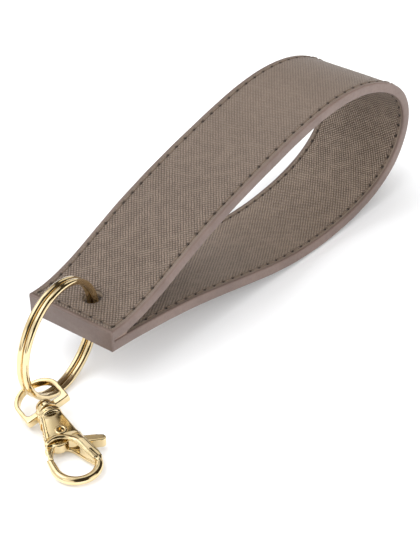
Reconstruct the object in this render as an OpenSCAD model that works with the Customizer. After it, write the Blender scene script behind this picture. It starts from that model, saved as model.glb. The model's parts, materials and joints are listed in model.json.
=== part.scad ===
// A wristlet keychain: a stitched leather strap closed into a loop, a split ring
// through the hole in its end, and a swivel clasp with a sprung gate on the ring.
// It lies as on a table: Z up, X along the strap, Y across it.

/* [Strap] */
// Width of the strap, with its painted edges
strap_w = 28; // [25:0.5:31]
// Thickness of one leg of the strap
leg_t = 2.85; // [2.7:0.05:2.9]
// Thickness of the outer leather
outer_t = 1.1; // [1:0.05:1.2]
// Thickness of the inner leather
inner_t = 1; // [0.9:0.05:1.1]
// Thickness of the paint on the cut edges
paint_t = 0.35; // [0.25:0.05:0.5]
// Diameter of the hole through both ends
hole_d = 5; // [4.8:0.1:5.4]
// Distance from the end of the strap to the hole's centre
hole_x = 8.1; // [7.9:0.1:8.5]

/* [Stitching] */
// Distance from an edge to its row of stitches
row_inset = 1.6; // [1.4:0.1:2]
// Spacing of the stitches
stitch_pitch = 3.7; // [3.5:0.1:5]
// Length of one stitch
stitch_len = 3; // [2:0.1:3.2]
// Diameter of the thread
thread_d = 0.6; // [0.4:0.05:0.6]
// Depth of the groove that the thread lies in
groove_d = 0.65; // [0.62:0.01:0.7]
// Width of the groove
groove_w = 0.9; // [0.7:0.05:1]

/* [Split ring] */
// Outer diameter of the ring
ring_od = 31.2; // [30.8:0.1:31.3]
// Diameter of the ring's wire
ring_wire_d = 1.6; // [1.4:0.05:1.6]
// Gap between the two coils
coil_gap = 0.06; // [0.04:0.01:0.1]
// Place round the ring where the wire crosses from coil to coil
crossing_angle = -20; // [-25:1:-18]

/* [Swivel eye] */
// Outer width of the eye
eye_w = 12.2; // [12:0.1:13]
// Height of the eye's top above the hook's top
eye_top = 13.85; // [13.4:0.05:14.2]
// Thickness of the eye's bow, in its plane
eye_wall = 1.15; // [1.1:0.05:1.3]
// Depth of the eye, front to back
eye_depth = 2.1; // [2:0.05:2.3]
// Turn of the eye on its swivel, from the hook's plane
eye_turn = 18; // [14:0.5:22]
// Lean of the eye to one side, within the play of its swivel
eye_lean = 8; // [6:0.5:8]

/* [Hook] */
// Depth of the hook's body, front to back
body_depth = 4.4; // [4.2:0.1:4.6]
// Width of the channel that the gate turns in
channel_w = 2.76; // [2.72:0.01:2.8]
// Diameter of the round wire of the hook's arm
arm_wire_d = 2.1; // [1.9:0.05:2.2]
// Radius of the arm's bend, to the middle of the wire
arm_r = 5.25; // [5.2:0.05:5.3]
// Distance from the hook's top down to the bend's centre
arm_drop = 16.3; // [16.2:0.1:16.6]
// Distance from the hook's top down to the gate's rivet
rivet_drop = 6.35; // [6.25:0.05:6.4]
// Diameter of the rivet's shank
rivet_d = 2; // [1.8:0.05:2]
// Radial clearance of the turning fits
fit_gap = 0.04; // [0.02:0.01:0.06]

/* [Gate] */
// Thickness of the gate lever
gate_t = 2.6; // [2.5:0.05:2.62]
// Radius of the gate's end about its rivet
gate_reach = 8.6; // [8.4:0.05:8.7]
// Radius of the gate's hub
hub_r = 3.1; // [3:0.05:3.2]

/* [Hidden] */
$fn = 48;

// The model's origin, seen from the foot of the strap's end
origin = [44.86, -9.36, 0];

leather_colour = "#8d8175";
inner_colour = "#7f7468";
core_colour = "#b9ac9b";
glue_colour = "#d8cfbf";
paint_colour = "#967f76";
thread_colour = "#4d3a2e";
metal_colour = "#d9c8a6";
steel_colour = "#b8b8b4";

// Control points of the outer face's line, in X and Z: over the top, round the bend and back below
LOOP = [
    [0, 18.4], [9.6, 17.8], [30.7, 28.7], [60.5, 36.7], [90.6, 43.7], [114.4, 38.7],
    [127, 25], [117.2, 6.2], [93.4, -0.35], [63, -0.35], [29, 10.6], [-0.2, 12.5]
];
spans = len(LOOP) - 3;
sample_count = 240;
segments = 104;

core_t = leg_t - outer_t - inner_t;
leather_w = strap_w - 2 * paint_t;
row_y = strap_w / 2 - row_inset;
end_row_at = 1.9;
end_row_count = 7;
end_row_pitch = 2 * row_y / end_row_count;
inner_row_from = 11;
thread_depth = thread_d / 2 + 0.01;
bobbin_depth = thread_d / 2 - 0.07;
end_paint_t = 0.4;
glue_segments = 2;

ring_r = (ring_od - ring_wire_d) / 2;
coil_pitch = ring_wire_d + coil_gap;
crossing_span = 13;
ring_yaw = 9.1;
ring_lean = 3.5;
ring_bottom = 0.01;
ring_seat = [hole_x - 0.35, -0.2];
ring_z = ring_bottom + ring_od / 2 * cos(ring_lean) + coil_pitch / 2 * sin(ring_lean);
ring_centre = [ring_seat.x - ring_r * cos(ring_yaw), ring_seat.y - ring_r * sin(ring_yaw), ring_z];

clasp_neck = [-20.34, -11.8, 3.5];
clasp_heading = -25.5;
clasp_incline = 6;

collar_r = 2.9;
collar_h = 1.85;
stud_r = 1.2;
stud_head_r = 2.1;
stud_head_at = 5;
stud_depth = 0.9;
eye_pivot = 3.5;
eye_base = 2.6;
eye_base_t = 1.8;
eye_shift = 0.3;
eye_bow_rise = 5.55;
boss_h = 1.6;
boss_r = 2.6;
boss_hole_r = 1.6;
tip_gap = 0.1;
hook_top_depth = 4.3;
root_end = 16.9;
bevel_w = 0.8;
bevel_d = 1;
bevel_len = 7.8;
nose_t = 1.8;
lobe = [-1.3, -8.2];
lobe_r = 2.2;
rivet_head_r = 1.5;
rivet_head_h = 0.42;
crater_r = 0.8;

// Outline of the hook's body from the front: neck, left edge, arch, arm root, right edge
HOOK_FRONT = [
    [-3.1, 0], [-3.75, -2.2], [-4.2, -4.5], [-4.75, -7.6], [-4.9, -8.6], [-4.8, -9], [-3.9, -8.5],
    [-2.8, -8.15], [-1.6, -8.15], [-0.3, -8.55], [0.9, -9.35], [1.8, -10.6], [2.4, -12.1], [3.05, -14.1],
    [3.75, -15.7], [4.2, -root_end], [6.3, -root_end], [6.1, -15.4], [5.55, -13.7], [4.85, -11.9],
    [4.35, -10.2], [4.3, -8.8], [4.3, -8], [3.85, -6], [3.4, -4], [3, -2], [2.9, 0]
];
// Lines of the body's two flanks, from its top to the arch
FLANK_LINES = [[[-3, 0], [-4.75, -7.6]], [[3, 0], [4.3, -8]]];
// Region of the channel between the two cheeks, open to both sides and below
CHANNEL = [[-7, -1.4], [0.4, -1.4], [0.9, -2.6], [8, -2.6], [8, -12], [-7, -12]];
// Outlines of the gate's flank between the cheeks, of its nose and of its thumb tab
FLANK = [[-2.6, -4.7], [-3.2, -5], [-4.1, -7.2], [-4.6, -8.9], [-3.4, -9.3], [0, -9.3]];
NOSE = [
    [-4.1, -7.6], [-4.8, -9], [-5.3, -11], [-5.65, -13], [-5.75, -15.2], [-4.6, -15.2], [-4.45, -13],
    [-4, -11.4], [-3, -9.9], [-1.6, -9]
];
TAB = [[2.95, -6.9], [4.3, -9], [6.9, -9.75], [8.7, -10.45], [8.3, -12.3], [5.4, -11.7], [0.8, -9.3]];
tab_end = [8.35, -11.4];
tab_end_r = 1;
spring_r = 1.55;
spring_wire_r = 0.2;
spring_turns = 3;
spring_rise = 1.4;
spring_start = -0.4;
pocket_r = 2.2;
pocket_wall = 0.6;
LEG_NOTCH = [[0, -0.7], [4.4, 0.2], [3.6, 3.2], [1, 4.4]];

// ---- Functions ----

function unit(v) = v / norm(v);

// Knots, rising weights and shares of the cubic spline that the control points steer
function knot(i) = min(max(i - 3, 0), spans);
function ramp(i, k, u) = knot(i + k) > knot(i) ? (u - knot(i)) / (knot(i + k) - knot(i)) : 0;
function share(i, k, u) =
    k == 0
    ? ((u >= knot(i) && u < knot(i + 1)) ? 1 : 0)
    : ramp(i, k, u) * share(i, k - 1, u) + (1 - ramp(i + 1, k, u)) * share(i + 1, k - 1, u);
function line_at(u) = [for (i = [0:len(LOOP) - 1]) share(i, 3, min(u, spans - 1e-7))] * LOOP;
function heading_at(u) = unit(line_at(min(u + 0.01, spans)) - line_at(max(u - 0.01, 0)));

// Distance along the outer face's line, and the spline's parameter at a distance
SAMPLES = [for (i = [0:sample_count]) line_at(i * spans / sample_count)];
DISTANCE = [
    for (i = 0, s = 0; i <= sample_count;
         s = s + (i < sample_count ? norm(SAMPLES[i + 1] - SAMPLES[i]) : 0), i = i + 1) s
];
loop_len = DISTANCE[sample_count];
U_TABLE = [for (i = [0:sample_count]) [DISTANCE[i], i * spans / sample_count]];
function u_at(s) = lookup(s, U_TABLE);

// Point at distance s along the loop and depth d below the outer face
function inset_u(u, d) = line_at(u) + d * [heading_at(u).y, -heading_at(u).x];
function inset(s, d) = inset_u(u_at(s), d);

// Tube of triangles along a path, with its cross-sections turned towards ref
function path_dir(path, i) = unit(path[min(i + 1, len(path) - 1)] - path[max(i - 1, 0)]);
function cross_section(c, t, ref, r, sides) =
    let (a = unit(ref - (ref * t) * t), b = cross(t, a))
    [for (k = [0:sides - 1]) c + r * (cos(360 * k / sides) * a + sin(360 * k / sides) * b)];
function smooth(x) = x * x * (3 - 2 * x);

// ---- Shared modules ----

module placed() translate(-origin) children();

// Extrude an outline in X and Z by w across the strap, about y
module across(w, y = 0) translate([0, y + w / 2, 0]) rotate([90, 0, 0]) linear_extrude(w) children();

// Outline of a layer between two depths, from distance s0 to s1 along the loop
module layer(d0, d1, s0 = 0, s1 = loop_len) {
    n = max(2, round(segments * (s1 - s0) / loop_len));
    at = [for (i = [0:n]) s0 + (s1 - s0) * i / n];
    polygon(concat([for (s = at) inset(s, d0)], [for (i = [n:-1:0]) inset(at[i], d1)]));
}

module ring_hole() translate([hole_x, 0, 5]) cylinder(d = hole_d, h = 20);

module side_grooves(d0, d1, s0 = 0, s1 = loop_len)
    for (side = [-1, 1]) across(groove_w, side * row_y) layer(d0, d1, s0, s1);

module end_groove(at) across(2 * row_y, 0) layer(-1, groove_d, at - groove_w / 2, at + groove_w / 2);

// One stitch, along X, with its ends drawn in
module stitch() {
    r = thread_d / 2;
    rotate([0, 90, 0]) rotate_extrude($fn = 24)
        polygon([
            [0, -stitch_len / 2], [0.6 * r, -stitch_len / 2], [r, 0.4 - stitch_len / 2],
            [r, stitch_len / 2 - 0.4], [0.6 * r, stitch_len / 2], [0, stitch_len / 2]
        ]);
}

// Row of stitches round the loop at height y and depth d, starting at distance s0
module stitch_row(y, d, s0) {
    count = floor((loop_len - 2 * s0) / stitch_pitch);
    first = (loop_len - (count - 1) * stitch_pitch) / 2;
    for (i = [0:count - 1]) {
        u = u_at(first + i * stitch_pitch);
        p = inset_u(u, d);
        h = heading_at(u);
        translate([p.x, y, p.y]) rotate([0, -atan2(h.y, h.x), 0]) stitch();
    }
}

// Row of stitches across the end at distance s along the loop
module end_stitch_row(s) {
    p = inset(s, thread_depth);
    for (i = [0:end_row_count - 1])
        translate([p.x, (i - (end_row_count - 1) / 2) * end_row_pitch, p.y]) rotate([0, 0, 90]) stitch();
}

module tube(path, r, sides, ref) {
    last = len(path) - 1;
    points = [for (i = [0:last]) each cross_section(path[i], path_dir(path, i), ref, r, sides)];
    walls = [
        for (i = [0:last - 1]) for (k = [0:sides - 1])
            let (a = i * sides + k, b = i * sides + (k + 1) % sides)
            each [[a, a + sides, b + sides], [a, b + sides, b]]
    ];
    start_cap = [for (k = [0:sides - 1]) k];
    end_cap = [for (k = [sides - 1:-1:0]) last * sides + k];
    polyhedron(points, concat([start_cap], walls, [end_cap]));
}

// Frames of the clasp: its long axis along Z, the hook's top at z = 0, the front towards -Y
module clasp_frame(turn = 0)
    placed()
    translate(clasp_neck) rotate([0, 0, clasp_heading]) rotate([clasp_incline - 90, 0, 0])
    rotate([0, 0, -turn]) children();

// Extrude an outline in X and Z by depth, centred on the clasp's middle plane
module plate(depth) rotate([90, 0, 0]) linear_extrude(depth, center = true) children();

// Arc of round wire in the XZ plane
module wire_arc(x, z, r, wire_r, start, sweep)
    translate([x, 0, z]) rotate([90, 0, 0])
    rotate_extrude(angle = sweep, start = start) translate([r, 0]) circle(wire_r);

module rivet_axis() translate([0, 0, -rivet_drop]) rotate([90, 0, 0]) children();

// ---- Strap ----

module outer_leather() color(leather_colour) placed()
    difference() {
        across(leather_w) layer(0, outer_t);
        side_grooves(-1, groove_d);
        end_groove(end_row_at);
        end_groove(loop_len - end_row_at);
        ring_hole();
    }

module strap_core() color(core_colour) placed()
    difference() {
        across(leather_w) layer(outer_t, outer_t + core_t);
        ring_hole();
    }

module inner_leather() color(inner_colour) placed()
    difference() {
        across(leather_w) layer(outer_t + core_t, leg_t);
        side_grooves(leg_t - groove_d, leg_t + 0.05, inner_row_from, loop_len - inner_row_from);
        ring_hole();
    }

// Film that joins the two ends as far as the hole
module end_glue() color(glue_colour) placed()
    across(leather_w) polygon(concat(
        [for (i = [0:glue_segments]) inset(i * loop_len / segments, leg_t)],
        [for (i = [glue_segments:-1:0]) inset(loop_len - i * loop_len / segments, leg_t)]
    ));

module edge_paint(side) color(paint_colour) placed()
    across(paint_t, side * (strap_w - paint_t) / 2) layer(0, leg_t);

module end_edge_paint() color(paint_colour) placed() {
    rim = [inset(0, 0), inset(0, leg_t), inset(loop_len, leg_t), inset(loop_len, 0)];
    across(strap_w) polygon(concat(rim, [for (i = [3:-1:0]) rim[i] - [end_paint_t, 0]]));
}

module needle_thread(side) color(thread_colour) placed() stitch_row(side * row_y, thread_depth, end_row_at);

module bobbin_thread(side) color(thread_colour) placed()
    stitch_row(side * row_y, leg_t - bobbin_depth, inner_row_from + stitch_len / 2);

module end_thread(s) color(thread_colour) placed() end_stitch_row(s);

// ---- Split ring ----

// The wire makes one turn in each coil and crosses over between them
module split_ring() color(metal_colour) placed() {
    arc = 360 - crossing_span;
    over = 3;
    steps = 14;
    path = [
        for (i = [0:steps])
            let (x = i / steps, a = -over + x * (crossing_span + 2 * over))
            [ring_r * cos(a), ring_r * sin(a), coil_pitch * (smooth(min(max(a / crossing_span, 0), 1)) - 0.5)]
    ];
    translate(ring_centre) rotate([90 + ring_lean, 0, ring_yaw])
    rotate([0, 0, crossing_angle - crossing_span / 2]) {
        translate([0, 0, -coil_pitch / 2]) rotate([0, 0, crossing_span - 360]) ring_arc(arc);
        translate([0, 0, coil_pitch / 2]) rotate([0, 0, crossing_span]) ring_arc(arc);
        tube(path, 0.975 * ring_wire_d / 2, 16, [0, 0, 1]);
    }
}

module ring_arc(sweep) rotate_extrude(angle = sweep) translate([ring_r, 0]) circle(d = ring_wire_d);

// ---- Clasp ----

module swivel_eye() color(metal_colour) clasp_frame(eye_turn)
    translate([0, 0, eye_pivot]) rotate([0, -eye_lean, 0]) translate([0, 0, -eye_pivot])
    difference() {
        union() {
            translate([eye_shift, 0, 0]) plate(eye_depth)
            difference() {
                eye_outline(eye_w / 2, eye_bow_rise, eye_base, 0.35);
                eye_outline(eye_w / 2 - eye_wall, eye_bow_rise - eye_wall, eye_base + eye_base_t, 0.6);
            }
            translate([0, 0, eye_pivot - boss_h / 2]) cylinder(r = boss_r, h = boss_h);
        }
        translate([0, 0, eye_base - 1]) cylinder(r = boss_hole_r, h = boss_h + 3);
    }

// Straight base with cut corners below an oval bow
module eye_outline(half, rise, base, corner)
    polygon(concat(
        [for (a = [0:6:180]) [half * cos(a), eye_top - eye_bow_rise + rise * sin(a)]],
        [[-half, base + corner], [corner - half, base], [half - corner, base], [half, base + corner]]
    ));

module swivel_stud() color(metal_colour) clasp_frame() {
    rim_h = 0.3;
    dome_h = 0.9;
    rotate_extrude()
        polygon(concat(
            [[0, -stud_depth], [stud_r, -stud_depth], [stud_r, stud_head_at], [stud_head_r, stud_head_at]],
            [for (a = [0:15:75]) [stud_head_r * cos(a), stud_head_at + rim_h + dome_h * sin(a)]],
            [[0, stud_head_at + rim_h + dome_h]]
        ));
}

module hook_body() color(metal_colour) clasp_frame() {
    half = body_depth / 2;
    arm_wire_r = arm_wire_d / 2;
    difference() {
        union() {
            intersection() {
                plate(body_depth) polygon(HOOK_FRONT);
                translate([-8, 0, 0]) rotate([90, 0, 90]) linear_extrude(16)
                    polygon([
                        [-hook_top_depth / 2, 0], [-half, -1.5], [-half, -11], [-arm_wire_r, -root_end],
                        [arm_wire_r, -root_end], [half, -11], [half, -1.5], [hook_top_depth / 2, 0]
                    ]);
            }
            cylinder(r = collar_r, h = collar_h);
            wire_arc(0, -arm_drop, arm_r, arm_wire_r, 180, 180);
            arm_tip();
        }
        plate(channel_w) polygon(CHANNEL);
        for (line = FLANK_LINES) for (face = [-1, 1]) flank_bevel(line, face);
        translate([0, 0, -stud_depth]) cylinder(r = stud_r, h = stud_depth + collar_h + 1);
        rivet_axis() cylinder(d = rivet_d, h = 10, center = true);
    }
}

// Slanting cut along one edge of a cheek
module flank_bevel(line, face) {
    side = sign(line[0].x);
    run = line[1] - line[0];
    translate([line[0].x, face * body_depth / 2, line[0].y]) rotate([0, -atan2(run.x, -run.y), 0])
    translate([0, 0, -bevel_len]) linear_extrude(bevel_len + 1.2)
        polygon([
            [-side * bevel_w, face], [-side * bevel_w, 0],
            [side, -face * bevel_d * (1 + 1 / bevel_w)], [side, face]
        ]);
}

// The arm's end, cut back to the gate's swing
module arm_tip()
    difference() {
        translate([-arm_r, 0, -arm_drop])
            cylinder(d1 = arm_wire_d, d2 = 0.8 * arm_wire_d, h = arm_drop - 12.2);
        rivet_axis() cylinder(r = gate_reach + tip_gap, h = 10, center = true);
    }

module gate_lever() color(metal_colour) clasp_frame()
    difference() {
        union() {
            rivet_axis() cylinder(r = hub_r, h = gate_t, center = true);
            plate(gate_t) polygon(FLANK);
            plate(gate_t) polygon(TAB);
            gate_boss(lobe, lobe_r);
            gate_boss(tab_end, tab_end_r);
            intersection() {
                plate(nose_t) polygon(NOSE);
                rivet_axis() cylinder(r = gate_reach, h = 10, center = true);
            }
        }
        rivet_axis() cylinder(r = rivet_d / 2 + fit_gap, h = 10, center = true);
        spring_pocket();
    }

module gate_boss(at, r)
    translate([at.x, 0, at.y]) rotate([90, 0, 0]) cylinder(r = r, h = gate_t, center = true);

// Room for the spring's coil and, at any opening, for its leg
module spring_pocket()
    translate([0, pocket_wall - gate_t / 2, -rivet_drop]) rotate([-90, 0, 0]) {
        cylinder(r = pocket_r, h = gate_t);
        mirror([0, 1, 0]) linear_extrude(gate_t) polygon(LEG_NOTCH);
    }

module lever_spring() color(steel_colour) clasp_frame() {
    steps_per_turn = 16;
    steps = spring_turns * steps_per_turn;
    coil = [
        for (i = [0:steps])
            let (a = 360 * i / steps_per_turn)
            [spring_r * cos(a), spring_start + spring_rise * i / steps, spring_r * sin(a) - rivet_drop]
    ];
    leg = [for (z = [0.8, 1.8, 2.8, 3.5]) [spring_r, spring_start + spring_rise, z - rivet_drop]];
    tube(concat(coil, leg), spring_wire_r, 8, [0, 1, 0]);
}

// Tubular rivet with rolled heads
module lever_rivet() color(metal_colour) clasp_frame() {
    half = body_depth / 2;
    top = half + rivet_head_h;
    r = rivet_d / 2;
    rivet_axis() rotate_extrude()
        polygon([
            [0, 0.9 - top], [crater_r - 0.1, 0.9 - top], [crater_r, 0.12 - top], [crater_r + 0.25, -top],
            [rivet_head_r - 0.25, -top], [rivet_head_r, 0.15 - top], [rivet_head_r, -half], [r, -half],
            [r, half], [rivet_head_r, half], [rivet_head_r, top - 0.15], [rivet_head_r - 0.25, top],
            [crater_r + 0.25, top],
            [crater_r, top - 0.12], [crater_r - 0.1, top - 0.9], [0, top - 0.9]
        ]);
}

outer_leather();
strap_core();
inner_leather();
end_glue();
edge_paint(-1);  // near_edge_paint
edge_paint(1);  // far_edge_paint
end_edge_paint();
needle_thread(-1);  // needle_thread_near
needle_thread(1);  // needle_thread_far
bobbin_thread(-1);  // bobbin_thread_near
bobbin_thread(1);  // bobbin_thread_far
end_thread(end_row_at);  // end_needle_thread
end_thread(loop_len - end_row_at);  // end_bobbin_thread
split_ring();
swivel_eye();
swivel_stud();
hook_body();
gate_lever();
lever_spring();
lever_rivet();
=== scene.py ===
import json
import math

import bmesh
import bpy
import numpy as np
from mathutils import Matrix, Vector


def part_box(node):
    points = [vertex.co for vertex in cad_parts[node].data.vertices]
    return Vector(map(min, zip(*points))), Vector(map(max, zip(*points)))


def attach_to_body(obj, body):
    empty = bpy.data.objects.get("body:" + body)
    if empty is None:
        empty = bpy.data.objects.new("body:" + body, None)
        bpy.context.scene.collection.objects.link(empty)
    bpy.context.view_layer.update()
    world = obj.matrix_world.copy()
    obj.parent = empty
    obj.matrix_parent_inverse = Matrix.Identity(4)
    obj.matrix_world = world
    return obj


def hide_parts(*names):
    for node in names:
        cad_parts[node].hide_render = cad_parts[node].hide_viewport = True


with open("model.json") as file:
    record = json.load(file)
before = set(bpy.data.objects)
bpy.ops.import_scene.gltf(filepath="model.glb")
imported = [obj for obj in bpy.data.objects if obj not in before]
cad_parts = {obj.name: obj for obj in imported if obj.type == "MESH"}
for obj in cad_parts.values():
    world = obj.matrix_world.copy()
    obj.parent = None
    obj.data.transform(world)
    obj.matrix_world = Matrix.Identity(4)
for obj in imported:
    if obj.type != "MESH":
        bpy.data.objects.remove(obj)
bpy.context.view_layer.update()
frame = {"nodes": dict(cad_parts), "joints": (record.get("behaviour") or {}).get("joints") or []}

MM = 0.001
JOINTS = {joint["name"]: joint for joint in frame["joints"]}
NODES = frame["nodes"]

# ---------------------------------------------------------------- dimensions, in millimetres

# Control points of the strap's outer face, over the top, round the bend and back below
LOOP = np.array([
    (0, 18.4), (9.6, 17.8), (30.7, 28.7), (60.5, 36.7), (90.6, 43.7), (114.4, 38.7),
    (127, 25), (117.2, 6.2), (93.4, -0.35), (63, -0.35), (29, 10.6), (-0.2, 12.5),
])
LEG_T = 2.85
OUTER_T = 1.1
INNER_T = 1.0
END_BOX = [Vector(corner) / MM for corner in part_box("end_edge_paint")]
STRAP_FOOT = Vector((END_BOX[1].x, (END_BOX[0].y + END_BOX[1].y) / 2, 0))
STRAP_W = END_BOX[1].y - END_BOX[0].y
HALF_W = STRAP_W / 2
SHEET_HALF = HALF_W - 0.35
ROW_Y = HALF_W - 1.6
ROW_PITCH = 3.7
END_ROW_S = 1.9
END_ROW_COUNT = 7
INNER_ROW_FROM = 11.0
HOLE_X = 8.1
HOLE_R = 2.5
THREAD_R = 0.25
RING_R = 14.8
RING_WIRE_R = 0.8
COIL_PITCH = 1.66
CROSSING = (-26.5, -13.5)
PAINT_CORNER_R = 0.42
FLOOR_Z = -0.3

# Depths of what is worked into the faces of the leather
GROOVE = 0.08
NEEDLE_PIT = 0.55
END_GROOVE = 0.13
END_PIT = 0.5
EDGE_ROLL = 0.3
END_ROLL = 0.25
RIM_ROLL = 0.5

# Clasp, in its own axes: across, back and up from the hook's top
BODY_HALF = 2.2
TAPER_FROM = -11
CHEEK_TAPER = 0.195
LIP_TAPER = 0.19
CHANNEL_HALF = 1.38
LIP_R = 0.56
LIP_INSET = 0.28
NECK_R = 2.7
NECK_RINGS = [(0.48, 0.42), (0.45, 1.45)]
CROWN_SKIN = 0.35
CHEEK_CROWN = 0.22
CHEEK_FOOT = -9
BAND_CROWN = 0.38
BAND_HALF = 1.35
BAND_TOP = -8.5
BAND_FOOT = -17.5
BEVEL_END = -7.6
BEVEL_RUN = 4.4
ARCH = [(-4.6, -9.0), (-3.85, -8.55), (-2.7, -8.15), (-1.6, -8.1), (-0.3, -8.5), (0.95, -9.3), (1.9, -10.55),
        (2.55, -12.1), (3.2, -14.1), (3.9, -15.8), (4.35, -17.0)]
# Other cast pieces: name, body, node, voxel size and passes of easing
CASTINGS = [
    ("gate_casting", "gate", "gate_lever", 0.11, 24),
    ("eye_casting", "eye", "swivel_eye", 0.11, 70),
    ("stud_turned", "hook", "swivel_stud", 0.08, 3),
    ("rivet_rolled", "hook", "lever_rivet", 0.06, 3),
]


# ---------------------------------------------------------------- node helpers

class Nodes:
    """A small builder of shader nodes, which adds each node and sets or links its inputs."""

    def __init__(self, tree):
        self.tree = tree
        tree.nodes.clear()

    def add(self, kind, inputs=None, **settings):
        node = self.tree.nodes.new(kind)
        for key, value in settings.items():
            setattr(node, key, value)
        for key, value in (inputs or {}).items():
            if isinstance(value, bpy.types.NodeSocket):
                self.tree.links.new(value, node.inputs[key])
            else:
                node.inputs[key].default_value = value
        return node

    def math(self, operation, a, b=0.0, c=0.0):
        return self.add("ShaderNodeMath", {0: a, 1: b, 2: c}, operation=operation).outputs[0]

    def mix(self, factor, a, b):
        node = self.add("ShaderNodeMix", {0: factor}, data_type="RGBA")
        for index, value in ((6, a), (7, b)):
            if isinstance(value, bpy.types.NodeSocket):
                self.tree.links.new(value, node.inputs[index])
            else:
                node.inputs[index].default_value = (*value, 1)
        return node.outputs[2]

    def noise(self, vector, scale, detail=2.0, roughness=0.5):
        inputs = {"Vector": vector, "Scale": scale, "Detail": detail, "Roughness": roughness}
        return self.add("ShaderNodeTexNoise", inputs).outputs["Fac"]

    def ramp(self, factor, low, high, to_low=0.0, to_high=1.0, smooth=True):
        inputs = {0: factor, 1: low, 2: high, 3: to_low, 4: to_high}
        kind = "SMOOTHSTEP" if smooth else "LINEAR"
        return self.add("ShaderNodeMapRange", inputs, interpolation_type=kind).outputs[0]

    def bump(self, height, distance):
        inputs = {"Height": height, "Distance": distance, "Strength": 1.0}
        return self.add("ShaderNodeBump", inputs).outputs[0]

    def along(self, vector, axis):
        node = self.add("ShaderNodeVectorMath", {0: vector, 1: axis}, operation="DOT_PRODUCT")
        return node.outputs["Value"]

    def part(self, vector, index):
        return self.add("ShaderNodeSeparateXYZ", {0: vector}).outputs[index]

    def finish(self, **inputs):
        """The surface. Inputs are named after their sockets, as base_color is for Base Color."""
        names = {key.replace("_", " ").title().replace("Ior", "IOR"): value for key, value in inputs.items()}
        shader = self.add("ShaderNodeBsdfPrincipled", names)
        output = self.add("ShaderNodeOutputMaterial")
        self.tree.links.new(shader.outputs[0], output.inputs[0])


def new_material(name):
    material = bpy.data.materials.new(name)
    material.use_nodes = True
    return material, Nodes(material.node_tree)


# ---------------------------------------------------------------- materials

def leather_material(name, light, dark, grain_depth, contrast, first_hole, angles, calm):
    """Crosshatch-embossed leather. The UVs are millimetres along and across the strap. angles are those of
    the two sets of ribs, and calm is where the embossing starts and ends to change, with its depth there."""
    material, n = new_material(name)
    uv = n.add("ShaderNodeUVMap", uv_map="grain").outputs[0]
    place = n.add("ShaderNodeTexCoord").outputs["Object"]
    wander = n.add("ShaderNodeTexNoise", {"Vector": uv, "Scale": 0.9, "Detail": 2.0}).outputs["Color"]
    shift = n.add("ShaderNodeVectorMath", {0: wander, 1: (0.5, 0.5, 0.5)}, operation="SUBTRACT").outputs[0]
    shift = n.add("ShaderNodeVectorMath", {0: shift, 3: 0.4}, operation="SCALE").outputs[0]
    uv_bent = n.add("ShaderNodeVectorMath", {0: uv, 1: shift}, operation="ADD").outputs[0]

    def ribs(angle, pitch):
        turn = 2 * math.pi / pitch
        across = (math.cos(angle) * turn, math.sin(angle) * turn, 0)
        return n.math("MULTIPLY_ADD", n.math("SINE", n.along(uv_bent, across)), 0.5, 0.5)

    first = n.math("POWER", ribs(math.radians(angles[0]), 0.7), 0.6)
    second = n.math("POWER", ribs(math.radians(angles[1]), 0.72), 0.6)
    patch = n.noise(uv, 0.3, 2.0)
    both = n.math("MULTIPLY", first, second)
    single = n.mix(n.ramp(patch, 0.44, 0.56), (0, 0, 0), (1, 1, 1))
    single = n.math("MULTIPLY_ADD", n.math("SUBTRACT", second, first), single, first)
    fewer = n.ramp(n.noise(uv, 0.35, 3.0, 0.6), 0.4, 0.62, 0.0, 0.5)
    weave = n.math("MULTIPLY_ADD", n.math("SUBTRACT", single, both), fewer, both)
    fine = n.noise(uv, 5.5, 3.0, 0.6)

    edge_reach = n.math("ABSOLUTE", n.part(uv, 1))
    field = n.ramp(edge_reach, ROW_Y + 0.15, ROW_Y + 0.75, 1.0, 0.0)
    place_s = n.part(uv, 0)
    field = n.math("MULTIPLY", field, n.ramp(place_s, *calm))
    weave_here = n.math("MULTIPLY", n.math("SUBTRACT", weave, 0.5), field)

    tone = n.math("MULTIPLY_ADD", weave_here, contrast, 0.5)
    tone = n.math("MULTIPLY_ADD", n.math("SUBTRACT", fine, 0.5), 0.18, tone)
    tone = n.math("MULTIPLY_ADD", n.math("SUBTRACT", n.noise(place, 55, 3.0), 0.5), 0.22, tone)
    colour = n.mix(n.ramp(tone, 0.0, 1.0, smooth=False), dark, light)
    row = n.math("ABSOLUTE", n.math("SUBTRACT", edge_reach, ROW_Y))
    step = n.math("FRACT", n.math("MULTIPLY_ADD", place_s, 1 / ROW_PITCH, 0.5 - first_hole / ROW_PITCH))
    beside = n.math("MULTIPLY", n.math("ABSOLUTE", n.math("SUBTRACT", step, 0.5)), 0.42 * ROW_PITCH)
    pit = n.math("SQRT", n.math("ADD", n.math("MULTIPLY", row, row), n.math("MULTIPLY", beside, beside)))
    # Painted shade: the stitch groove is darkened along each row, and each needle hole is painted near black,
    # as the shade that they hold.
    colour = n.mix(n.ramp(row, 0.1, 0.4, 0.35, 0.0), colour, tuple(0.6 * c for c in dark))
    colour = n.mix(n.ramp(pit, 0.18, 0.55, 0.85, 0.0), colour, (0.018, 0.012, 0.009))

    rough = n.ramp(n.noise(uv, 1.3, 2.0), 0.3, 0.7, 0.5, 0.62)
    height = n.math("MULTIPLY_ADD", fine, 0.25, weave_here)
    n.finish(
        base_color=colour, roughness=rough, normal=n.bump(height, grain_depth * MM),
        specular_ior_level=0.38, sheen_weight=0.08, sheen_roughness=0.45,
    )
    return material


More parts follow.
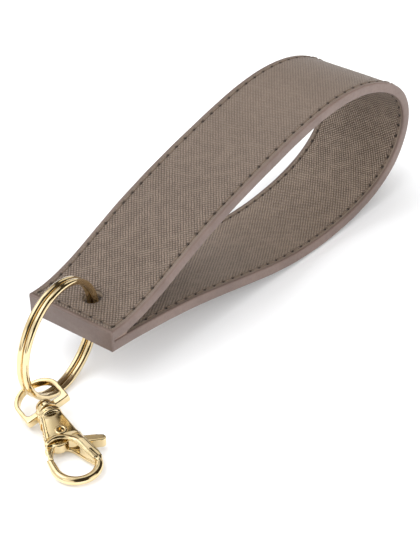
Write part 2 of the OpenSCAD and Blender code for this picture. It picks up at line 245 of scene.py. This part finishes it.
def paint_material():
    """Satin edge paint, laid on by hand in thin coats."""
    material, n = new_material("edge_paint")
    place = n.add("ShaderNodeTexCoord").outputs["Object"]
    broad = n.noise(place, 90, 3.0, 0.55)
    fine = n.noise(place, 1400, 3.0, 0.6)
    colour = n.mix(n.ramp(broad, 0.3, 0.7), (0.125, 0.087, 0.073), (0.162, 0.114, 0.096))
    colour = n.mix(n.ramp(fine, 0.35, 0.75, 0.0, 0.18), colour, (0.085, 0.056, 0.045))
    height = n.math("MULTIPLY_ADD", fine, 0.3, broad)
    n.finish(
        base_color=colour, roughness=n.ramp(fine, 0.3, 0.7, 0.36, 0.5),
        normal=n.bump(height, 0.05 * MM), specular_ior_level=0.45, coat_weight=0.08, coat_roughness=0.4,
    )
    return material


def thread_material():
    material, n = new_material("waxed_thread")
    place = n.add("ShaderNodeTexCoord").outputs["Object"]
    fibre = n.noise(place, 5200, 3.0, 0.65)
    from_end = n.part(n.add("ShaderNodeUVMap", uv_map="grain").outputs[0], 0)
    colour = n.mix(n.ramp(fibre, 0.3, 0.7), (0.095, 0.068, 0.05), (0.185, 0.138, 0.105))
    # Painted shade: each stitch darkens towards both of its ends, where the thread goes down into its needle
    # hole.
    colour = n.mix(n.ramp(from_end, 0.25, 0.9, 0.85, 0.0), colour, (0.02, 0.012, 0.008))
    n.finish(
        base_color=colour, roughness=n.ramp(fibre, 0.3, 0.7, 0.5, 0.7), normal=n.bump(fibre, 0.03 * MM),
        specular_ior_level=0.35, sheen_weight=0.15, sheen_roughness=0.4,
    )
    return material


def gold_material(name, ripple, rough_low, rough_high, grain=0.0):
    """Pale gold plating. The ripple is the casting's slight unevenness under the polish."""
    material, n = new_material(name)
    place = n.add("ShaderNodeTexCoord").outputs["Object"]
    broad = n.noise(place, 260, 2.0)
    fine = n.noise(place, 2600, 3.0, 0.6)
    # Painted shade: random spots are painted darker and deeper gold, as the shade that small dimples would
    # hold; the casting has no such dimples in its shape.
    dimple_shade = n.ramp(n.noise(place, 900, 1.0), 0.62, 0.8)
    colour = n.mix(n.ramp(broad, 0.3, 0.7), (0.795, 0.63, 0.355), (0.865, 0.705, 0.43))
    colour = n.mix(n.math("MULTIPLY", dimple_shade, 0.2), colour, (0.66, 0.46, 0.2))
    height = n.math("MULTIPLY_ADD", fine, grain, broad)
    n.finish(
        base_color=colour, metallic=1.0, roughness=n.ramp(fine, 0.3, 0.7, rough_low, rough_high),
        normal=n.bump(height, ripple * MM), ior=1.45,
    )
    return material


def board_material():
    material, n = new_material("core_board")
    place = n.add("ShaderNodeTexCoord").outputs["Object"]
    fibres = n.noise(place, 1800, 4.0, 0.7)
    colour = n.mix(n.ramp(fibres, 0.35, 0.65), (0.30, 0.23, 0.17), (0.46, 0.37, 0.28))
    rough = n.ramp(fibres, 0.3, 0.7, 0.75, 0.9)
    n.finish(base_color=colour, roughness=rough, normal=n.bump(fibres, 0.05 * MM))
    return material


def glue_material():
    material, n = new_material("dried_glue")
    place = n.add("ShaderNodeTexCoord").outputs["Object"]
    blotch = n.noise(place, 700, 3.0, 0.6)
    colour = n.mix(n.ramp(blotch, 0.35, 0.65), (0.16, 0.105, 0.08), (0.25, 0.18, 0.14))
    rough = n.ramp(blotch, 0.3, 0.7, 0.4, 0.6)
    n.finish(base_color=colour, roughness=rough, normal=n.bump(blotch, 0.04 * MM))
    return material


def spring_material():
    material, n = new_material("spring_wire")
    place = n.add("ShaderNodeTexCoord").outputs["Object"]
    drawn = n.noise(place, 3500, 2.0)
    colour = n.mix(n.ramp(drawn, 0.3, 0.7), (0.42, 0.41, 0.40), (0.60, 0.59, 0.57))
    n.finish(base_color=colour, metallic=1.0, roughness=n.ramp(drawn, 0.3, 0.7, 0.22, 0.34))
    return material


def floor_material():
    material, n = new_material("studio_floor")
    place = n.add("ShaderNodeTexCoord").outputs["Object"]
    faint = n.noise(place, 8, 2.0)
    colour = n.mix(faint, (0.93, 0.94, 0.955), (0.94, 0.95, 0.965))
    n.finish(base_color=colour, roughness=0.9, specular_ior_level=0.1)
    return material


PAINT = paint_material()
THREAD = thread_material()
RING_GOLD = gold_material("ring_gold", ripple=0.004, rough_low=0.05, rough_high=0.09)
CAST_GOLD = gold_material("cast_gold", ripple=0.012, rough_low=0.07, rough_high=0.13, grain=0.06)
BOARD = board_material()
GLUE = glue_material()
SPRING = spring_material()
FLOOR = floor_material()


# ---------------------------------------------------------------- mesh helpers

def mesh_object(name, points, faces, material, uvs=None):
    """Object from points in millimetres in the row's frame, with UVs in millimetres per vertex."""
    mesh = bpy.data.meshes.new(name)
    mesh.from_pydata((np.asarray(points) * MM).tolist(), [], faces)
    mesh.materials.append(material)
    mesh.shade_smooth()
    if uvs is not None:
        layer = mesh.uv_layers.new(name="grain")
        index = np.zeros(len(mesh.loops), int)
        mesh.loops.foreach_get("vertex_index", index)
        layer.data.foreach_set("uv", np.asarray(uvs, float)[index].ravel())
    obj = bpy.data.objects.new(name, mesh)
    bpy.context.scene.collection.objects.link(obj)
    return obj


def quad_strip(rows, columns, wrap):
    """Faces of a grid of points, row by row. wrap closes each row on itself."""
    last = columns if wrap else columns - 1
    faces = []
    for i in range(rows - 1):
        for j in range(last):
            k = (j + 1) % columns
            faces.append((i * columns + j, i * columns + k, (i + 1) * columns + k, (i + 1) * columns + j))
    return faces


def sweep(path, normals, section, closed=False):
    """Points and faces of a section swept along a path. section holds (along normal, along side) offsets,
    one outline or one for each point of the path."""
    path = np.asarray(path, float)
    if closed:
        tangents = np.roll(path, -1, 0) - np.roll(path, 1, 0)
    else:
        tangents = np.gradient(path, axis=0)
    tangents /= np.linalg.norm(tangents, axis=1)[:, None]
    normals = np.broadcast_to(np.asarray(normals, float), path.shape)
    normals = normals - (normals * tangents).sum(1)[:, None] * tangents
    normals /= np.linalg.norm(normals, axis=1)[:, None]
    sides = np.cross(tangents, normals)
    section = np.asarray(section, float)
    if section.ndim == 2:
        section = np.broadcast_to(section, (len(path), *section.shape))
    points = path[:, None] + section[..., :1] * normals[:, None] + section[..., 1:] * sides[:, None]
    count = section.shape[1]
    faces = quad_strip(len(path), count, True)
    if closed:
        last = (len(path) - 1) * count
        faces += [(last + j, last + (j + 1) % count, (j + 1) % count, j) for j in range(count)]
    else:
        faces.append(tuple(reversed(range(count))))
        faces.append(tuple(range((len(path) - 1) * count, len(path) * count)))
    return points.reshape(-1, 3), faces


def circle(radius, count):
    angles = np.arange(count) * 2 * math.pi / count
    return np.stack([radius * np.cos(angles), radius * np.sin(angles)], 1)


def apply_modifiers(obj):
    graph = bpy.context.evaluated_depsgraph_get()
    mesh = bpy.data.meshes.new_from_object(obj.evaluated_get(graph))
    obj.modifiers.clear()
    obj.data = mesh
    mesh.shade_smooth()
    return obj


def cut(obj, cutter):
    modifier = obj.modifiers.new("cut", "BOOLEAN")
    modifier.object = cutter
    modifier.operation = "DIFFERENCE"
    modifier.solver = "EXACT"
    return apply_modifiers(obj)


def attach(obj, body, *replaced, slot=None):
    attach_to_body(obj, body)
    if replaced:
        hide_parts(*replaced)
    return obj


# ---------------------------------------------------------------- the strap's line

def spline_shares(u, count):
    """Shares of a clamped cubic B-spline's control points at each parameter u."""
    spans = count - 3
    knots = np.clip(np.arange(count + 4) - 3, 0, spans).astype(float)

    def ramp(i, k):
        width = knots[i + k] - knots[i]
        return (u - knots[i]) / width if width > 0 else np.zeros_like(u)

    shares = [((u >= knots[i]) & (u < knots[i + 1])).astype(float) for i in range(count + 3)]
    for k in (1, 2, 3):
        shares = [
            ramp(i, k) * shares[i] + (1 - ramp(i + 1, k)) * shares[i + 1]
            for i in range(count + 3 - k)
        ]
    return np.stack(shares, 1)


SAMPLE_U = np.linspace(0, len(LOOP) - 3 - 1e-7, 6001)
SAMPLES = spline_shares(SAMPLE_U, len(LOOP)) @ LOOP
SAMPLE_S = np.concatenate([[0], np.cumsum(np.linalg.norm(np.diff(SAMPLES, axis=0), axis=1))])
SAMPLE_T = np.gradient(SAMPLES, axis=0)
SAMPLE_T /= np.linalg.norm(SAMPLE_T, axis=1)[:, None]
LOOP_LEN = SAMPLE_S[-1]


def along(s, table):
    return np.stack([np.interp(s, SAMPLE_S, table[:, k]) for k in (0, 1)], -1)


def strap_points(s, y, depth):
    """Points at distance s along the outer face, y across it and depth under it."""
    s, y, depth = np.broadcast_arrays(s, y, depth)
    line = along(s, SAMPLES)
    heading = along(s, SAMPLE_T)
    x = line[..., 0] + depth * heading[..., 1] + STRAP_FOOT.x
    z = line[..., 1] - depth * heading[..., 0]
    return np.stack([x, y + STRAP_FOOT.y, z], -1)


def row_holes(start):
    """Distances of the needle holes of a row round the loop."""
    count = math.floor((LOOP_LEN - 2 * start) / ROW_PITCH)
    first = (LOOP_LEN - (count - 1) * ROW_PITCH) / 2
    return first + (np.arange(count + 1) - 0.5) * ROW_PITCH


NEEDLE_HOLES = row_holes(END_ROW_S)
BOBBIN_HOLES = row_holes(INNER_ROW_FROM + 1.5)
END_HOLES = np.linspace(-ROW_Y, ROW_Y, END_ROW_COUNT + 1)

OUTER = leather_material(
    "outer_leather_grain", light=(0.244, 0.186, 0.146), dark=(0.066, 0.046, 0.034), grain_depth=0.14,
    contrast=0.95, first_hole=NEEDLE_HOLES[0], angles=(39, -51), calm=(10, 100, 1.3, 0.6),
)
INNER = leather_material(
    "inner_leather_grain", light=(0.35, 0.272, 0.212), dark=(0.062, 0.041, 0.028), grain_depth=0.15,
    contrast=1.1, first_hole=BOBBIN_HOLES[0], angles=(58, -40), calm=(150, 200, 1.0, 0.7),
)


# ---------------------------------------------------------------- leather

def graded(stops):
    """Values from stop to stop, with about the given step in each stretch."""
    values = [stops[0][0]]
    for (start, step), (end, _) in zip(stops, stops[1:]):
        count = max(1, round((end - start) / step))
        values += list(np.linspace(start, end, count + 1)[1:])
    return np.array(values)


def bell(x, width):
    return np.exp(-(x / width) ** 2)


def face_dip(s, y, holes, outer):
    """How far the face lies under its nominal surface: grooves, needle holes, rolled edges, hole rims."""
    reach = np.abs(y)
    dip = GROOVE * bell(reach - ROW_Y, 0.42) * (s > holes[0] - 1) * (s < holes[-1] + 1)
    for hole in holes:
        near = np.abs(s - hole) < 1.5
        dip[near] += NEEDLE_PIT * bell(s[near] - hole, 0.36) * bell(reach[near] - ROW_Y, 0.34)
    dip += EDGE_ROLL * np.clip((reach - SHEET_HALF + 0.55) / 0.55, 0, 1) ** 2
    if outer:
        from_end = np.minimum(s, LOOP_LEN - s)
        inside = reach < ROW_Y + 0.3
        dip += END_GROOVE * bell(from_end - END_ROW_S, 0.42) * inside
        for hole in END_HOLES[1:-1]:
            dip += END_PIT * bell(from_end - END_ROW_S, 0.3) * bell(y - hole, 0.34)
        dip += END_ROLL * np.clip((0.5 - from_end) / 0.5, 0, 1) ** 2
        centre = HOLE_X + 0.05
        rim = np.hypot(from_end - centre, y) - HOLE_R
        dip += RIM_ROLL * bell(np.maximum(rim, 0), 0.5) * (rim < 1.6)
    return dip


def soft_wave(s, y):
    """Slow unevenness of the leather, a few hundredths of a millimetre."""
    return 0.03 * np.sin(s / 6.1 + 0.7 * np.sin(y / 5.0)) + 0.02 * np.sin(y / 3.3 + s / 11.0 + 1.3)


def leather_sheet(name, face_d, back_d, holes, outer, material):
    """Closed sheet of leather round the loop, with a worked face at face_d and a plain back at back_d."""
    s = graded([(0, 0.22), (13, 0.34), (LOOP_LEN - 13, 0.22), (LOOP_LEN, 1)])
    half = graded([(0, 0.3), (3.6, 0.6), (10.8, 0.2), (SHEET_HALF, 1)])
    y = np.concatenate([-half[:0:-1], half])
    grid_s, grid_y = np.meshgrid(s, y, indexing="ij")
    inward = 1 if back_d > face_d else -1
    depth = face_d + inward * (face_dip(grid_s, grid_y, holes, outer) + soft_wave(grid_s, grid_y))
    face = strap_points(grid_s, grid_y, depth)
    back_y = np.array([SHEET_HALF, 0, -SHEET_HALF])
    back_s, back_grid = np.meshgrid(s, back_y, indexing="ij")
    back = strap_points(back_s, back_grid, back_d)
    points = np.concatenate([face, back], 1)
    uv_face = np.stack([grid_s, grid_y], -1)
    uv_back = np.stack([back_s, back_grid], -1)
    uvs = np.concatenate([uv_face, uv_back], 1)
    columns = points.shape[1]
    faces = quad_strip(len(s), columns, True)
    faces.append(tuple(reversed(range(columns))))
    faces.append(tuple(range((len(s) - 1) * columns, len(s) * columns)))
    if inward > 0:
        faces = [tuple(reversed(f)) for f in faces]
    return mesh_object(name, points.reshape(-1, 3), faces, material, uvs.reshape(-1, 2))


def hole_cutter():
    """A slightly uneven punch through both ends of the strap."""
    count = 72
    angles = np.arange(count) * 2 * math.pi / count
    radius = HOLE_R + 0.03 * np.sin(3 * angles) + 0.02 * np.sin(5 * angles + 1)
    rings = []
    for z in (8, 26):
        ring_x = STRAP_FOOT.x + HOLE_X + radius * np.cos(angles)
        ring_y = STRAP_FOOT.y + radius * np.sin(angles)
        rings.append(np.stack([ring_x, ring_y, np.full(count, float(z))], 1))
    faces = quad_strip(2, count, True) + [tuple(reversed(range(count))), tuple(range(count, 2 * count))]
    return mesh_object("punch", np.concatenate(rings), faces, PAINT)


def edge_bead(name, side):
    """Paint on a long cut edge: crowned, rounded at both corners and lapped on to the faces."""
    s = np.linspace(0, LOOP_LEN, 620)
    corner = PAINT_CORNER_R
    turn = np.radians(np.linspace(90, 0, 8))
    lap = HALF_W - 0.75
    top = np.stack([HALF_W - corner + corner * np.cos(turn), corner - corner * np.sin(turn)], 1)
    bottom = np.stack([top[::-1, 0], LEG_T - top[::-1, 1]], 1)
    middle_d = np.linspace(corner, LEG_T - corner, 7)[1:-1]
    crown = HALF_W + 0.05 * (1 - ((middle_d - LEG_T / 2) / (LEG_T / 2)) ** 2)
    middle = np.stack([crown, middle_d], 1)
    section = np.concatenate([[(lap, 0.16), (lap, 0.06), (lap + 0.1, 0.0)], top, middle, bottom,
                              [(lap + 0.1, LEG_T), (lap, LEG_T - 0.06), (lap, LEG_T - 0.16)]])
    grid_s = np.repeat(s[:, None], len(section), 1)
    wobble = 0.02 * np.sin(grid_s / 4.3 + side) + 0.015 * np.sin(grid_s / 1.9 + 2 * side)
    grid_y = side * (section[None, :, 0] + wobble * (section[None, :, 0] > HALF_W - 0.3))
    points = strap_points(grid_s, grid_y, np.broadcast_to(section[None, :, 1], grid_s.shape))
    count = len(section)
    faces = quad_strip(len(s), count, True)
    faces += [tuple(reversed(range(count))), tuple(range((len(s) - 1) * count, len(s) * count))]
    if side > 0:
        faces = [tuple(reversed(f)) for f in faces]
    uvs = np.stack([grid_s, grid_y], -1)
    return mesh_object(name, points.reshape(-1, 3), faces, PAINT, uvs.reshape(-1, 2))


def rounded_outline(half_w, half_h, radius, steps=6):
    points = []
    for quarter, (sx, sy) in enumerate(((1, 1), (-1, 1), (-1, -1), (1, -1))):
        for k in range(steps + 1):
            angle = math.radians(90 * quarter + 90 * k / steps)
            points.append((sx * (half_w - radius) + radius * math.cos(angle),
                           sy * (half_h - radius) + radius * math.sin(angle)))
    return np.array(points)


def end_bead():
    """Paint over the two ends of the strap, one rounded face."""
    low, high = LOOP[-1][1], LOOP[0][1]
    half_h = (high - low) / 2
    rings = []
    for turn in np.radians([0, 18, 36, 54, 72, 90]):
        drop = PAINT_CORNER_R * (1 - math.cos(turn))
        outline = rounded_outline(HALF_W - drop, half_h - drop, 0.5)
        x = -PAINT_CORNER_R * math.sin(turn) + 0.02
        rings.append(np.column_stack([np.full(len(outline), x), outline]))
    first = rings[0].copy()
    first[:, 0] = 0.6
    rings.insert(0, first)
    points = np.concatenate(rings)
    points[:, 0] += STRAP_FOOT.x
    points[:, 1] += STRAP_FOOT.y
    points[:, 2] += (high + low) / 2
    count = len(rings[0])
    faces = [tuple(reversed(f)) for f in quad_strip(len(rings), count, True)]
    faces += [tuple(range(count)), tuple(reversed(range((len(rings) - 1) * count, len(rings) * count)))]
    return mesh_object("end_paint", points, faces, PAINT, points[:, 1:])


# ---------------------------------------------------------------- stitches

def stitch_points(start, end, face, lift):
    """Thread from one needle hole to the next: down at both ends, just proud between."""
    share = np.linspace(0, 1, 11)
    s = start + (end - start) * (0.035 + 0.93 * share)
    rise = np.clip(np.minimum(share, 1 - share) / 0.16, 0, 1)
    rise = rise * rise * (3 - 2 * rise)
    return s, face + lift * (0.42 - 0.40 * rise)


def twisted_section(count_path, turns, radius, count=10):
    """Outline of two plies laid together, turning along the thread."""
    angles = np.arange(count) * 2 * math.pi / count
    twist = np.linspace(0, turns * 2 * math.pi, count_path)[:, None]
    r = radius * (1 + 0.13 * np.cos(2 * (angles[None] - twist)))
    return np.stack([r * np.cos(angles), r * np.sin(angles)], -1)


def thread_mesh(name, stitches):
    points, faces, uvs = [], [], []
    base = 0
    for path, normals in stitches:
        section = twisted_section(len(path), 2.2, THREAD_R)
        p, f = sweep(path, normals, section)
        from_end = np.minimum(np.linalg.norm(path - path[0], axis=1), np.linalg.norm(path - path[-1], axis=1))
        uvs.append(np.repeat(np.stack([from_end, np.zeros(len(path))], 1), section.shape[1], 0))
        points.append(p)
        faces += [tuple(base + k for k in face) for face in f]
        base += len(p)
    return mesh_object(name, np.concatenate(points), faces, THREAD, np.concatenate(uvs))


def thread_row(name, side, holes, face, inward):
    """Row of stitches round the loop, on the outer face or the inner one."""
    stitches = []
    for start, end in zip(holes, holes[1:]):
        s, depth = stitch_points(start, end, face, inward)
        sway = 0.04 * np.sin(np.linspace(0, math.pi, len(s))) * math.sin(3.1 * start)
        path = strap_points(s, side * ROW_Y + sway, depth)
        up = strap_points(s, side * ROW_Y + sway, depth - inward) - path
        stitches.append((path, up))
    return thread_mesh(name, stitches)


def end_thread(name, at):
    stitches = []
    for start, end in zip(END_HOLES, END_HOLES[1:]):
        y, depth = stitch_points(start, end, 0, 1)
        path = strap_points(np.full(len(y), at), y, depth)
        stitches.append((path, (0, 0, 1)))
    return thread_mesh(name, stitches)


# ---------------------------------------------------------------- split ring

def ring_axes():
    """Centre and axes of the ring, from its node: the axis is the direction in which it is thinnest."""
    mesh = NODES["split_ring"].data
    points = np.zeros(len(mesh.vertices) * 3)
    mesh.vertices.foreach_get("co", points)
    points = points.reshape(-1, 3) / MM
    centre = (points.min(0) + points.max(0)) / 2
    hinge = JOINTS["ring_turn"]["pos_m"]
    vectors = np.linalg.eigh(np.cov((points - points.mean(0)).T))[1]
    axis = vectors[:, 0] if vectors[1, 0] < 0 else -vectors[:, 0]
    outward = np.array([hinge[0] / MM, hinge[1] / MM, centre[2]]) - centre
    across = outward - (outward @ axis) * axis
    across /= np.linalg.norm(across)
    return centre, across, np.cross(axis, across), axis


def split_ring():
    """One wire of two turns that crosses from coil to coil, with its two ends cut square and eased."""
    centre, across, up, axis = ring_axes()
    span = CROSSING[1] - CROSSING[0]
    angles = np.radians(np.linspace(0, 720 - span, 640))
    crossing = np.clip((np.degrees(angles) - 360 + span) / span, 0, 1)
    shift = COIL_PITCH * (crossing * crossing * (3 - 2 * crossing) - 0.5)
    turned = angles + math.radians(CROSSING[1])
    radial = np.cos(turned)[:, None] * across + np.sin(turned)[:, None] * up
    path = centre + RING_R * radial + shift[:, None] * axis
    size = np.ones(len(path))
    ease = np.array([0.72, 0.9, 0.98])
    size[:3] = ease
    size[-3:] = ease[::-1]
    outline = circle(RING_WIRE_R, 24)
    flat = np.sign(outline) * np.abs(outline) ** 0.92 * RING_WIRE_R ** 0.08
    points, faces = sweep(path, axis, flat[None] * size[:, None, None])
    return mesh_object("split_ring_wire", points, faces, RING_GOLD)


# ---------------------------------------------------------------- clasp

NECK = Vector(JOINTS["hook_swivel"]["pos_m"]) / MM
UP = Vector(JOINTS["hook_swivel"]["axis"]).normalized()
FRONT = Vector(JOINTS["gate_open"]["axis"]).normalized()
ACROSS = UP.cross(FRONT).normalized()
CLASP = Matrix((ACROSS, -FRONT, UP)).transposed().to_4x4()
CLASP.translation = NECK


def cast_piece(name, node, voxel, passes, details=(), reshape=None):
    """The node's shape and its details fused into one skin whose corners are eased, as cast and plated."""
    mesh = NODES[node].data.copy()
    work = bmesh.new()
    work.from_mesh(mesh)
    bmesh.ops.remove_doubles(work, verts=work.verts, dist=0.001 * MM)
    for points, faces in details:
        verts = [work.verts.new(CLASP @ Vector(p) * MM) for p in points]
        for face in faces:
            work.faces.new([verts[k] for k in face])
    work.to_mesh(mesh)
    work.free()
    mesh.materials.clear()
    mesh.materials.append(CAST_GOLD)
    obj = bpy.data.objects.new(name, mesh)
    bpy.context.scene.collection.objects.link(obj)
    remesh = obj.modifiers.new("skin", "REMESH")
    remesh.mode = "VOXEL"
    remesh.voxel_size = voxel * MM
    ease = obj.modifiers.new("ease", "SMOOTH")
    ease.factor = 0.5
    ease.iterations = passes
    apply_modifiers(obj)
    if reshape:
        inverse = CLASP.inverted()
        for vertex in obj.data.vertices:
            vertex.co = CLASP @ reshape(inverse @ (vertex.co / MM)) * MM
    return obj


def smooth_line(points, steps):
    """Smooth line through given points, by cubic interpolation between them."""
    points = np.asarray(points, float)
    padded = np.vstack([2 * points[0] - points[1], points, 2 * points[-1] - points[-2]])
    line = []
    for a, b, c, d in zip(padded, padded[1:], padded[2:], padded[3:]):
        for t in np.linspace(0, 1, steps, endpoint=False):
            line.append(0.5 * (2 * b + (c - a) * t + (2 * a - 5 * b + 4 * c - d) * t ** 2
                               + (3 * b - a - 3 * c + d) * t ** 3))
    line.append(points[-1])
    return np.array(line)


def torus(radius, wire_r, z):
    path = [(radius * math.cos(a), radius * math.sin(a), z) for a in np.radians(np.arange(0, 360, 6))]
    return sweep(path, (0, 0, 1), circle(wire_r, 12), closed=True)


def body_half(z, taper):
    """Half the depth of the hook's body at height z, which tapers down to the arm."""
    return BODY_HALF - max(0, TAPER_FROM - z) * taper


def cheek_half(z):
    """Half the width of a cheek at height z, which grows downwards."""
    return 2.2 - 0.2 * z


def band_middle(z):
    """How far across the middle of the band from the arch to the arm lies at height z."""
    return 2.95 - 0.36 * (z + 10.2)


def hook_details():
    """Rounded lips along the arch on both cheeks, and the rolled rings of the neck."""
    details = []
    for side in (-1, 1):
        lip = smooth_line([(x, side * (body_half(z, LIP_TAPER) - LIP_INSET), z) for x, z in ARCH], 5)
        details.append(sweep(lip, (0, 1, 0), circle(LIP_R, 12)))
    return details + [torus(NECK_R, wire_r, z) for wire_r, z in NECK_RINGS]


def run_out_bevel(p):
    """Carry the bevel of the cheek's right edge on below its end, until it runs out."""
    share = (BEVEL_END - p.z) / BEVEL_RUN
    if 0 < share < 1 and abs(p.y) > CHANNEL_HALF:
        fade = 1 - share * share * (3 - 2 * share)
        bevel = min(1, max(0, (p.x - 3.4 + 0.14 * (p.z + 8)) / 0.9))
        p.y = math.copysign(CHANNEL_HALF + (abs(p.y) - CHANNEL_HALF) * (1 - 0.8 * fade * bevel), p.y)


def crowned(p):
    """Cheeks fuller along the middle, as is the band from the arch to the arm."""
    run_out_bevel(p)
    if not BAND_FOOT < p.z < 0 or abs(p.y) < body_half(p.z, CHEEK_TAPER) - CROWN_SKIN:
        return p
    if p.z > CHEEK_FOOT:
        across = 1 - (p.x / cheek_half(p.z)) ** 2
        full = across * min(1, -p.z / 1.5, (p.z - CHEEK_FOOT) / 1.2)
        p.y += math.copysign(CHEEK_CROWN * max(0, full), p.y)
    if p.z < BAND_TOP:
        across = 1 - ((p.x - band_middle(p.z)) / BAND_HALF) ** 2
        full = across * min(1, (BAND_TOP - p.z) / 2.5, (p.z - BAND_FOOT) / 3.2)
        p.y += math.copysign(BAND_CROWN * max(0, full), p.y)
    return p


def clasp_pieces():
    hook = cast_piece("hook_casting", "hook_body", 0.11, 26, hook_details(), crowned)
    attach(hook, "hook", "hook_body", slot="cast_gold")
    for name, body, node, voxel, passes in CASTINGS:
        attach(cast_piece(name, node, voxel, passes), body, node, slot="cast_gold")


# ---------------------------------------------------------------- assembly

def strap_pieces():
    punch = hole_cutter()
    outer = leather_sheet("outer_skin", 0, OUTER_T, NEEDLE_HOLES, True, OUTER)
    inner = leather_sheet("inner_skin", LEG_T, LEG_T - INNER_T, BOBBIN_HOLES, False, INNER)
    attach(cut(outer, punch), "strap", "outer_leather", slot="outer_leather")
    attach(cut(inner, punch), "strap", "inner_leather", slot="inner_leather")
    bpy.data.objects.remove(punch)
    attach(edge_bead("near_edge_bead", -1), "strap", "near_edge_paint", slot="edge_paint")
    attach(edge_bead("far_edge_bead", 1), "strap", "far_edge_paint", slot="edge_paint")
    attach(end_bead(), "strap", "end_edge_paint", slot="edge_paint")
    for side, word in ((-1, "near"), (1, "far")):
        needle = thread_row("needle_stitches_" + word, side, NEEDLE_HOLES, 0, 1)
        attach(needle, "strap", "needle_thread_" + word, slot="thread")
        bobbin = thread_row("bobbin_stitches_" + word, side, BOBBIN_HOLES, LEG_T, -1)
        attach(bobbin, "strap", "bobbin_thread_" + word, slot="thread")
    for word, at in (("needle", END_ROW_S), ("bobbin", LOOP_LEN - END_ROW_S)):
        attach(end_thread(f"end_{word}_stitches", at), "strap", f"end_{word}_thread", slot="thread")


def keep_node(node, material):
    mesh = NODES[node].data
    mesh.materials.clear()
    mesh.materials.append(material)


strap_pieces()
attach(split_ring(), "ring", "split_ring", slot="ring_wire")
clasp_pieces()
keep_node("strap_core", BOARD)
keep_node("end_glue", GLUE)
keep_node("lever_spring", SPRING)


# ---------------------------------------------------------------- studio

def floor():
    corners = [(x, y, FLOOR_Z * MM) for x, y in ((-3, -3), (3, -3), (3, 3), (-3, 3))]
    mesh = bpy.data.meshes.new("studio_floor")
    mesh.from_pydata(corners, [], [(0, 1, 2, 3)])
    mesh.materials.append(FLOOR)
    obj = bpy.data.objects.new("studio_floor", mesh)
    bpy.context.scene.collection.objects.link(obj)


def area_light(name, position, target, width, height, power):
    data = bpy.data.lights.new(name, "AREA")
    data.shape = "RECTANGLE"
    data.size = width
    data.size_y = height
    data.energy = power
    obj = bpy.data.objects.new(name, data)
    obj.location = position
    direction = Vector(target) - Vector(position)
    obj.rotation_euler = direction.to_track_quat("-Z", "Y").to_euler()
    obj.visible_glossy = False
    bpy.context.scene.collection.objects.link(obj)


# Bright panels of the room: direction, cosines at their soft rim and inside it, brightness
PANELS = [
    (-0.45, 0.55, 0.7, 0.6, 0.78, 0.95),
    (-0.3, 0.4, 0.87, 0.95, 0.98, 1.4),
    (0.21, 0.74, 0.64, 0.89, 0.93, 0.65),
    (0.43, 0.16, 0.89, 0.955, 0.975, 0.9),
    (-0.95, -0.2, 0.3, 0.9, 0.95, 1.0),
    (0.3, -0.95, 0.25, 0.94, 0.97, 1.0),
    (0.95, 0.3, 0.35, 0.94, 0.97, 0.9),
]


def studio_world():
    """Soft bright panels in a dark room, behind a pale backdrop."""
    world = bpy.data.worlds.new("studio")
    bpy.context.scene.world = world
    world.use_nodes = True
    n = Nodes(world.node_tree)
    direction = n.add("ShaderNodeTexCoord").outputs["Generated"]

    def towards(x, y, z, low, high, level):
        axis = tuple(Vector((x, y, z)).normalized())
        return n.ramp(n.along(direction, axis), low, high, 0.0, level)

    light = 0.0
    for panel in PANELS:
        light = n.math("ADD", light, towards(*panel))
    background = n.add("ShaderNodeBackground", {
        "Color": n.mix(n.math("MINIMUM", light, 1.0), (0.85, 0.72, 0.55), (0.985, 0.99, 1.0)),
        "Strength": n.math("ADD", light, 0.06),
    })
    backdrop = n.add("ShaderNodeBackground", {"Color": (0.93, 0.93, 0.935, 1), "Strength": 1.0})
    seen = n.add("ShaderNodeLightPath").outputs["Is Camera Ray"]
    mixed = n.add("ShaderNodeMixShader", {0: seen, 1: background.outputs[0], 2: backdrop.outputs[0]})
    output = n.add("ShaderNodeOutputWorld")
    world.node_tree.links.new(mixed.outputs[0], output.inputs[0])


def camera():
    """Camera by its viewing angle, its roll and the point that it looks at."""
    azimuth, elevation, roll = (math.radians(a) for a in (-48.17, 33.75, -2.85))
    target = Vector((-12.0, -7.71, 20.0)) * MM
    distance = 458.2 * MM
    back = Vector((math.sin(azimuth) * math.cos(elevation), -math.cos(azimuth) * math.cos(elevation),
                   math.sin(elevation)))
    right = Vector((math.cos(azimuth), math.sin(azimuth), 0))
    up = back.cross(right)
    rolled_right = math.cos(roll) * right + math.sin(roll) * up
    rolled_up = math.cos(roll) * up - math.sin(roll) * right
    data = bpy.data.cameras.new("camera")
    data.sensor_fit = "VERTICAL"
    data.sensor_height = 36
    data.lens = 122.4
    data.clip_start = 0.01
    obj = bpy.data.objects.new("camera", data)
    matrix = Matrix((rolled_right, rolled_up, back)).transposed().to_4x4()
    matrix.translation = target + distance * back
    obj.matrix_world = matrix
    bpy.context.scene.collection.objects.link(obj)
    bpy.context.scene.camera = obj


floor()
studio_world()
area_light("key", (-0.35, 0.45, 0.75), (0, 0, 0), 1.3, 1.3, 5.0)
area_light("fill", (-0.4, -0.5, 0.8), (0, 0, 0.01), 1.4, 1.4, 8.0)
area_light("side", (0.2, -0.95, 0.4), (0, 0, 0.01), 1.3, 0.7, 9.0)
camera()
bpy.context.scene.view_settings.view_transform = "Standard"
